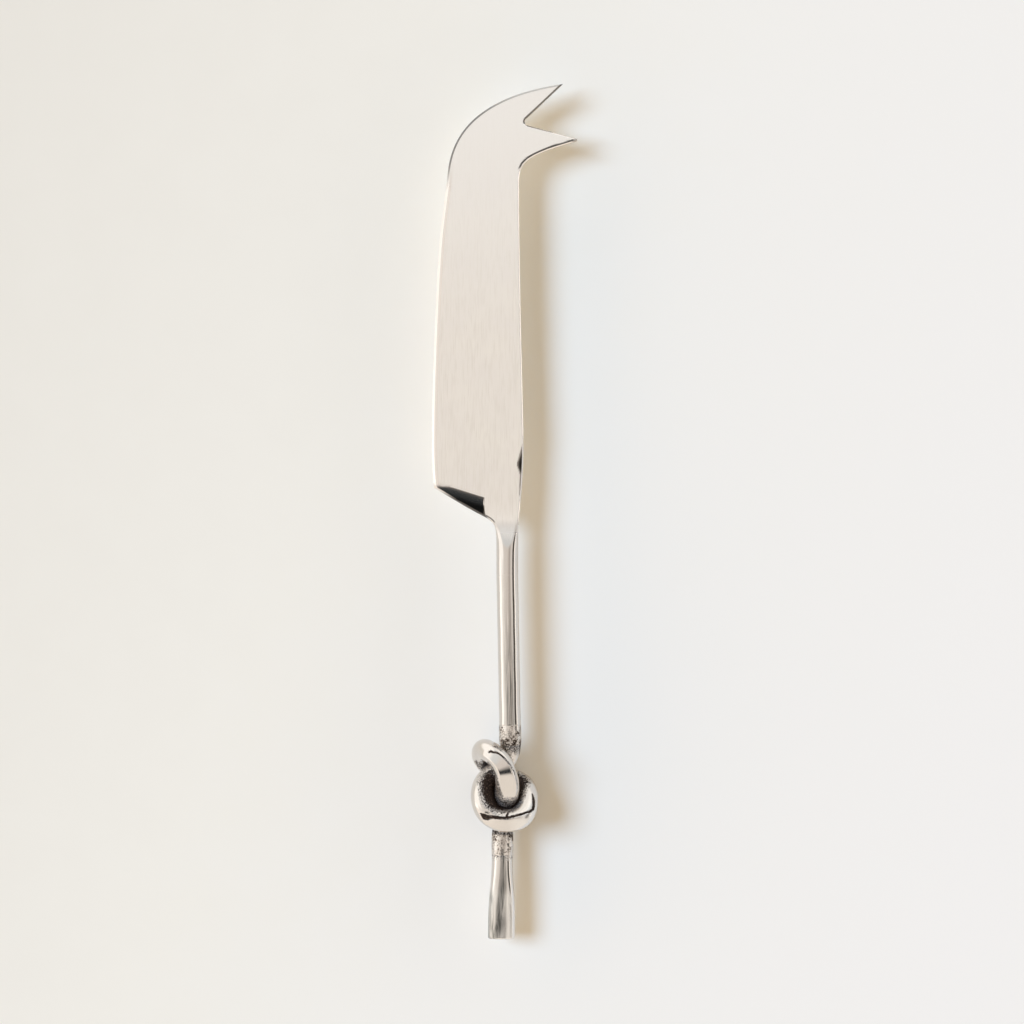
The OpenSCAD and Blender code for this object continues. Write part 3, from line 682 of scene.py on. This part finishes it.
lower_dark_line = drawn_on([
    (-5.46, -52.37, 0.1), (-4.7, -53.13, 0.15), (-3.94, -54.5, 0.25), (-3.18, -56.3, 0.3), (-2.81, -58, 0.4),
    (-2.57, -59.5, 0.55), (-2.27, -61, 0.75), (-1.81, -62.6, 0.9)], -0.15, 0.15)
strand_dark_lines = np.maximum(upper_dark_line * fainter_down, 0.42 * lower_dark_line)
# The painted reflection lines, on the rod's upper side as seen from above.
crease = (ring_dark_line * between(3, 9.5, 0.3)[:, None]
          + strand_dark_lines * between(13, 18, 0.3)[:, None]) * facing_up
swept_r = swept_r - 0.08 * crease
# Two dark marks lie on the loop: scale with painted shade of the loop's underside on its lower left, and a
# fainter mark of scale beside the upper weld.
left_mark = drawn_on([(-8.8, -52.22, 0.3), (-7.58, -53.74, 0.55), (-6.52, -54.65, 0.4)], -0.25, 0.15)
weld_mark = drawn_on([(-3.9, -47.75, 0.2), (-2.8, -48.1, 0.35), (-1.7, -48.9, 0.4)], -0.25, 0.15)
mark = (0.75 * left_mark * between(10.5, 14.5, 0.3)[:, None]
        + 0.55 * weld_mark * between(13, 18, 0.3)[:, None]) * facing_up
points = (route[:, None] + swept_r[..., None] * out).reshape(-1, 3)
closed_rod = np.vstack([np.repeat(route[:1], KNOT_SIDES, 0), points, np.repeat(route[-1:], KNOT_SIDES, 0)])

# How deep each point lies in a hollow: its nearness to another strand, farther than two pitches away.
gap = np.full(len(points), np.inf)
point_travel = np.repeat(length_along, KNOT_SIDES)
for place_on, travelled in zip(route[::4], length_along[::4]):
    space = np.linalg.norm(points - place_on, axis=1) - KNOT_R
    gap = np.where(np.abs(point_travel - travelled) > 2.0 * PITCH, np.minimum(gap, space), gap)
hollow = np.exp(-((np.maximum(gap, 0) / 2.0) ** 2))
knot_l = length_along[-1]
near_weld = np.maximum(ease(-point_travel, -5.5, -3.5), ease(point_travel, knot_l - 7, knot_l - 3))
# The ring is dark on its inner side, from its crest on the left and farther in on the lower right: scale,
# and painted shade of the ring's hollow and of the loop above it.
inward = -np.einsum("pad,pd->pa", out, outward)
threshold = np.interp(
    compass, [0, 8, 16, 26, 60, 120, 134, 148, 160, 172, 182, 200, 217, 241, 270, 320, 345, 360],
    [.05, -.32, -.62, -.8, -.8, -.9, -.8, -.65, -.45, -.35, -.2, -.03, .2, .46, .72, .8, .35, .05])[:, None]
fullness = np.interp(compass, [0, 20, 90, 110, 330, 360], [1, 0.85, 0.85, 1.1, 1.1, 1])[:, None]
inner_side = between(2.3, 11, 0.4)[:, None] * (fullness * ease(inward, threshold - 0.2, threshold + 0.4)
                                               + 1.5 * ease(inward, threshold + 0.2, threshold + 0.75))
# Handling has rubbed the mirror off the ring's outer side on the lower right, and the strand that dives
# into the ring is dark all round: scale, and painted shade of the ring's hole.
rubbed = (0.7 * ease(compass, 270, 305) * (1 - ease(compass, 330, 345)))[:, None] * ease(-inward, -0.15, 0.1)
dive = np.repeat(between(18.25, 22.5, 0.22), KNOT_SIDES)
# Scale in the hollows and by the welds, with the painted shade and painted reflection lines above.
scale_and_shade_on_knot = np.maximum.reduce([2 * hollow**2 - 0.08, inner_side.ravel(), dive, 0.75 * near_weld,
                                 2.0 * crease.ravel(), mark.ravel()])
end_cap = np.ones(KNOT_SIDES)
knot = make_piece(
    "knotted_rod", leaned(closed_rod, HANDLE_LEAN), grid_faces(len(route) + 2, KNOT_SIDES, closed=True),
    {"scale_and_shade": np.concatenate([end_cap, np.clip(scale_and_shade_on_knot, 0, 3), end_cap]),
     "satin": np.concatenate([0 * end_cap, rubbed.ravel(), 0 * end_cap])})
knot.data.materials.append(polished_steel)
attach(knot, "root")
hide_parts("knot")


# ------------------------------------------------------------------
# LOWER WELD. The same kind of bead between the knotted rod and the tail, partly under the knot's ring.
points = weld_bead(LOWER_WELD_L, KNOT_R, KNOT_R, 2.3)
lower_weld = make_piece("lower_weld_bead",
                        leaned(leaned(points, -TAIL_LEAN) + LOWER_JOINT, HANDLE_LEAN), weld_faces,
                        {"soot": 0.8 * ease(points[:, 1], 0.3, 3.2)})
lower_weld.data.materials.append(weld_steel)
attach(lower_weld, "root")
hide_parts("lower_weld")


# ------------------------------------------------------------------
# TAIL. The last of the rod, hammered from round at the weld to a wide flattened end that is cut off
# square. The hammer left long shallow flats, polished over by hand.
TAIL_L = 26.6
POINT_L, END_ROUND_L, END_ROUND = 2.9, 0.5, 0.4


def tail_surface():
    """Rings along the tail: |x/a|^n + |z/b|^n = 1, where the half width a, the half thickness b and the
    exponent n change with the travel t from the lower weld's middle. Flats lower the front's right side."""
    end_round = [26.25, 26.38, 26.48, 26.56, TAIL_L, TAIL_L]
    t = np.concatenate([[0, 0, 0.95, 1.9], np.linspace(POINT_L, 26.1, 150), end_round])
    cone = WELD_ROOT_R + (KNOT_R - WELD_ROOT_R) * t / POINT_L
    rounded = END_ROUND * (1 - np.sqrt(1 - np.clip((t - 26.1) / END_ROUND_L, 0, 1) ** 2))
    a = smooth_table(t, [(0, 3), (2.9, 3), (7.5, 2.93), (13, 3.4), (18, 3.72), (22, 3.78), (27, 3.74)])
    b = smooth_table(t, [(0, 3), (2.9, 3), (7.5, 2.92), (13, 2.8), (18, 2.68), (22, 2.65), (27, 2.62)])
    a, b = np.minimum(a - rounded, cone), np.minimum(b - rounded, cone)
    n = smooth_table(t, [(0, 2), (4, 2), (9, 2.15), (16, 2.7), (27, 2.9)])
    a[0], b[0], a[-1], b[-1] = 0, 0, 0, 0
    s, c = np.sin(ROD_TURN), np.cos(ROD_TURN)
    size = (np.abs(s) ** n[:, None] + np.abs(c) ** n[:, None]) ** (-1 / n[:, None])
    x, z, t = a[:, None] * size * s, b[:, None] * size * c, t[:, None] + 0 * ROD_TURN
    # The hammered front: a face that dips a little to the right, and a narrower one left of it that turns
    # down towards the cut end. The ridge between them runs from the middle to the left as it goes down.
    fade = ease(t, 4.5, 9) * np.minimum(1, np.maximum(z, 0) / 1.2)
    ridge = smooth_table(t, [(0, 1.3), (9, 1.3), (14, 0.9), (19, -0.3), (27, -1.2)])
    z = z - fade * (0.02 + 0.13 * ease(t, 12, 17)) * np.maximum(0, x - ridge)
    z = z - (z > 0) * 0.55 * ease(t, 13.5, TAIL_L) ** 2 * (1 - ease(x, ridge - 0.3, ridge + 2.5))
    waves = 0.012 * (1 + np.sin(1.1 * x + 0.3 * t) * np.sin(0.4 * t))
    z = z - np.sign(z) * ease(t, 6, 12) * waves * (np.abs(z) > 1)
    return np.stack([x, -t, z], -1).reshape(-1, 3), t.ravel()


points, tail_travel = tail_surface()
# A dark streak of painted reflection runs down the front: crisp on its left side and fading out on its
# right, and the left border is painted a little darker than the mirror below the weld.
streak_x = smooth_table(tail_travel, [(0, 0.1), (5, 0.5), (9, 0.6), (12, 0.3), (14.5, -0.7), (17, -1),
                                      (20, -1.1), (22.4, -1.4), (25.1, -1.9), (27, -2)])
fading = smooth_table(tail_travel, [(0, 0.3), (5, 0.6), (9, 0.7), (13, 1.3), (15.5, 2), (20, 2),
                                    (22.4, 1.8), (25.1, 1.3), (27, 0.8)])
fading = np.where(points[:, 0] < streak_x, 0.4, fading)
tail_streak_and_reflection = 1.3 * np.exp(-(((points[:, 0] - streak_x) / fading) ** 2))
tail_streak_and_reflection += ease(-points[:, 0], 2.0, 2.5) * ease(tail_travel, 11, 15.5)
tail = make_piece("hammered_tail", leaned(leaned(points, -TAIL_LEAN) + LOWER_JOINT, HANDLE_LEAN),
                  grid_faces(len(points) // ROD_SIDES, ROD_SIDES, closed=True),
                  {"scale_and_shade": 0.16 * ease(-tail_travel, -5, -2.9),
                   "satin": 0.75 * ease(tail_travel, 10, 15.5),
                   "streak_and_reflection": tail_streak_and_reflection * (points[:, 2] > 0)})
tail.data.materials.append(polished_steel)
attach(tail, "root")
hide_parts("tail")


# ------------------------------------------------------------------
# TABLE. The knife lies on a sheet of warm white paper, large enough to run out of every view.
HALF_SHEET_M = 4
floor_mesh = bpy.data.meshes.new("paper_sheet")
corners = HALF_SHEET_M * np.array([(-1, -1, 0), (1, -1, 0), (1, 1, 0), (-1, 1, 0)])
floor_mesh.from_pydata(corners, [], [(0, 1, 2, 3)])
floor = put_in_scene("paper_sheet", floor_mesh)

# Matt warm white paper, with painted shade: a little darker and yellower towards its upper left.
paper, tree, shader = new_finish("matt_warm_white_paper")
place = add_node(tree, "ShaderNodeTexCoord").outputs["Object"]
slant = add_node(tree, "ShaderNodeVectorMath", {0: place, 1: (2.5, -0.9, 0)}, operation="DOT_PRODUCT")
drift = add_node(tree, "ShaderNodeMath", {0: slant, 1: 0.5}, operation="ADD")
# Fibre clouds, 15 mm across.
fibres = add_node(tree, "ShaderNodeTexNoise", {"Vector": place, "Scale": 65.0, "Detail": 4.0})
clouded = add_node(tree, "ShaderNodeMath", {0: fibres, 1: 0.12, 2: drift}, operation="MULTIPLY_ADD")
coloured = add_node(tree, "ShaderNodeValToRGB", {"Fac": clouded},
                    [(0.05, paint("#E6E3D9")), (0.42, paint("#EEECE3")), (0.62, paint("#EFEEE8")),
                     (1.0, paint("#F0EFEB"))])
feed(shader, {"Base Color": coloured})
shader.inputs["Roughness"].default_value = 0.9
shader.inputs["Specular IOR Level"].default_value = 0.1
floor.data.materials.append(paper)


# ------------------------------------------------------------------
# LIGHT. A cool window light from the left casts the shadows, and a warm room fills them. What the
# polished steel mirrors is painted on the room by direction: two windows, walls, a door and a dark shelf
# level with the handle, and the dark of the camera stand below the middle of the picture.

# Light levels are linear colours, because many are brighter than white.
window_lamp = bpy.data.lights.new("window_light", "SUN")
window_lamp.angle = np.radians(28)
window_lamp.energy = 1.92
window_lamp.color = (0.765, 1.05, 1.44)
window = put_in_scene("window_light", window_lamp)
window.rotation_euler = (0, np.radians(-40), np.radians(-11))
window.visible_glossy = False

room = bpy.data.worlds.new("room")
bpy.context.scene.world = room
room.use_nodes = True
tree = room.node_tree
tree.nodes.clear()
way = add_node(tree, "ShaderNodeSeparateXYZ", {0: add_node(tree, "ShaderNodeTexCoord").outputs["Generated"]})
x_share, y_share = [add_node(tree, "ShaderNodeMapRange",
                             {"Value": way.outputs[axis], "From Min": -1.0, "From Max": 1.0})
                    for axis in "XY"]
# The room at large, by how far the direction points to the right, times a tint by how far it points up.
across_room = add_node(tree, "ShaderNodeValToRGB", {"Fac": x_share}, [
    (0.0, 1.25), (0.15, 1.15), (0.3, 1.04), (0.5, 1.0), (0.7, 1.02), (0.88, 1.0), (1.0, 0.88)])
along_room = add_node(tree, "ShaderNodeValToRGB", {"Fac": y_share}, [
    (0.0, (1.02, 0.95, 0.86)), (0.38, (1.0, 0.93, 0.85)), (0.5, (1.0, 0.93, 0.865)),
    (0.6, (0.84, 0.85, 0.84)), (0.74, (0.86, 0.88, 0.88)), (0.86, (1.1, 1.08, 1.03)),
    (1.0, (1.12, 1.1, 1.05))])
toned = add_node(tree, "ShaderNodeMix", {0: 1.0, 6: across_room, 7: along_room},
                 data_type="RGBA", blend_type="MULTIPLY")
# The strip of it level with the handle, which the rods draw out into lines: window, wall, door and shelf.
handle_strip = add_node(tree, "ShaderNodeValToRGB", {"Fac": x_share}, [
    (0.0, (1.75, 1.7, 1.63)), (0.03, (1.75, 1.7, 1.63)), (0.065, (1.12, 1.08, 1.02)),
    (0.19, (0.93, 0.88, 0.82)), (0.5, (0.88, 0.81, 0.75)), (0.61, (0.74, 0.68, 0.61)),
    (0.66, (0.55, 0.50, 0.45)), (0.73, (0.55, 0.50, 0.46)), (0.80, (0.88, 0.82, 0.76)),
    (0.895, (0.95, 0.90, 0.84)), (0.918, (0.06, 0.05, 0.045)), (0.983, (0.08, 0.07, 0.06)),
    (0.993, (1.5, 1.44, 1.34)), (1.0, (1.5, 1.44, 1.34))])
in_strip = add_node(tree, "ShaderNodeValToRGB", {"Fac": y_share},
                    [(0.4, 0.0), (0.43, 1.0), (0.6, 1.0), (0.66, 0.0)])
mirrored = add_node(tree, "ShaderNodeMix", {0: in_strip, 6: toned, 7: handle_strip}, data_type="RGBA")


def hung_in_room(behind, across, along, colour):
    """A patch of one colour on the room: it fades in over the first two of the four places across, and
    along, and out over the last two, and the product of both is its strength."""
    masks = [add_node(tree, "ShaderNodeValToRGB", {"Fac": part}, list(zip(places, (0.0, 1.0, 1.0, 0.0))))
             for part, places in ((x_share, across), (y_share, along))]
    mask = add_node(tree, "ShaderNodeMath", {0: masks[0], 1: masks[1]}, operation="MULTIPLY")
    return add_node(tree, "ShaderNodeMix", {0: mask, 6: behind, 7: (*colour, 1)}, data_type="RGBA")


# A bright window on the left, another on the right, and the dark camera stand below the middle.
mirrored = hung_in_room(mirrored, (0.0, 0.001, 0.14, 0.21), (0.475, 0.51, 0.74, 0.8), (1.4, 1.37, 1.31))
mirrored = hung_in_room(mirrored, (0.56, 0.62, 0.8, 0.86), (0.7, 0.76, 0.95, 0.99), (1.3, 1.28, 1.23))
mirrored = hung_in_room(mirrored, (0.28, 0.37, 0.6, 0.69), (0.26, 0.31, 0.375, 0.475),
                        (0.022, 0.027, 0.031))
# The light that fills the shadows: brightest low down all round, warmer from the left than from the right.
height = add_node(tree, "ShaderNodeValToRGB", {"Fac": way.outputs["Z"]}, [(0.3, 3.2), (0.45, 0.62)])
warmth = add_node(tree, "ShaderNodeValToRGB", {"Fac": x_share},
                  [(0.35, (0.80, 0.53, 0.24)), (0.65, (0.54, 0.52, 0.49))])
fill = add_node(tree, "ShaderNodeMix", {0: 1.0, 6: height, 7: warmth}, data_type="RGBA",
                blend_type="MULTIPLY")
rays = add_node(tree, "ShaderNodeLightPath")
lit = add_node(tree, "ShaderNodeMix", {0: rays.outputs["Is Glossy Ray"], 6: fill, 7: mirrored},
               data_type="RGBA")
shown = add_node(tree, "ShaderNodeMix", {0: rays.outputs["Is Camera Ray"], 6: lit, 7: paint("#F2F0EA")},
                 data_type="RGBA")
background = add_node(tree, "ShaderNodeBackground", {"Color": shown})
add_node(tree, "ShaderNodeOutputWorld", {"Surface": background})


# ------------------------------------------------------------------
# CAMERA. Straight above the knife, 0.8 m over its middle plane, its picture 286.72 mm wide there; a square
# picture holds the whole knife.
PICTURE_W_MM = 286.72
SENSOR_MM = 36
camera_data = bpy.data.cameras.new("camera")
camera_data.sensor_width = SENSOR_MM
camera_data.lens = SENSOR_MM * CAMERA_UP_MM / PICTURE_W_MM
camera = put_in_scene("camera", camera_data)
camera.location = (np.array([*CENTRE_MM, CAMERA_UP_MM]) + SEAM_MM) / 1000
bpy.context.scene.camera = camera
bpy.context.scene.view_settings.view_transform = "Standard"
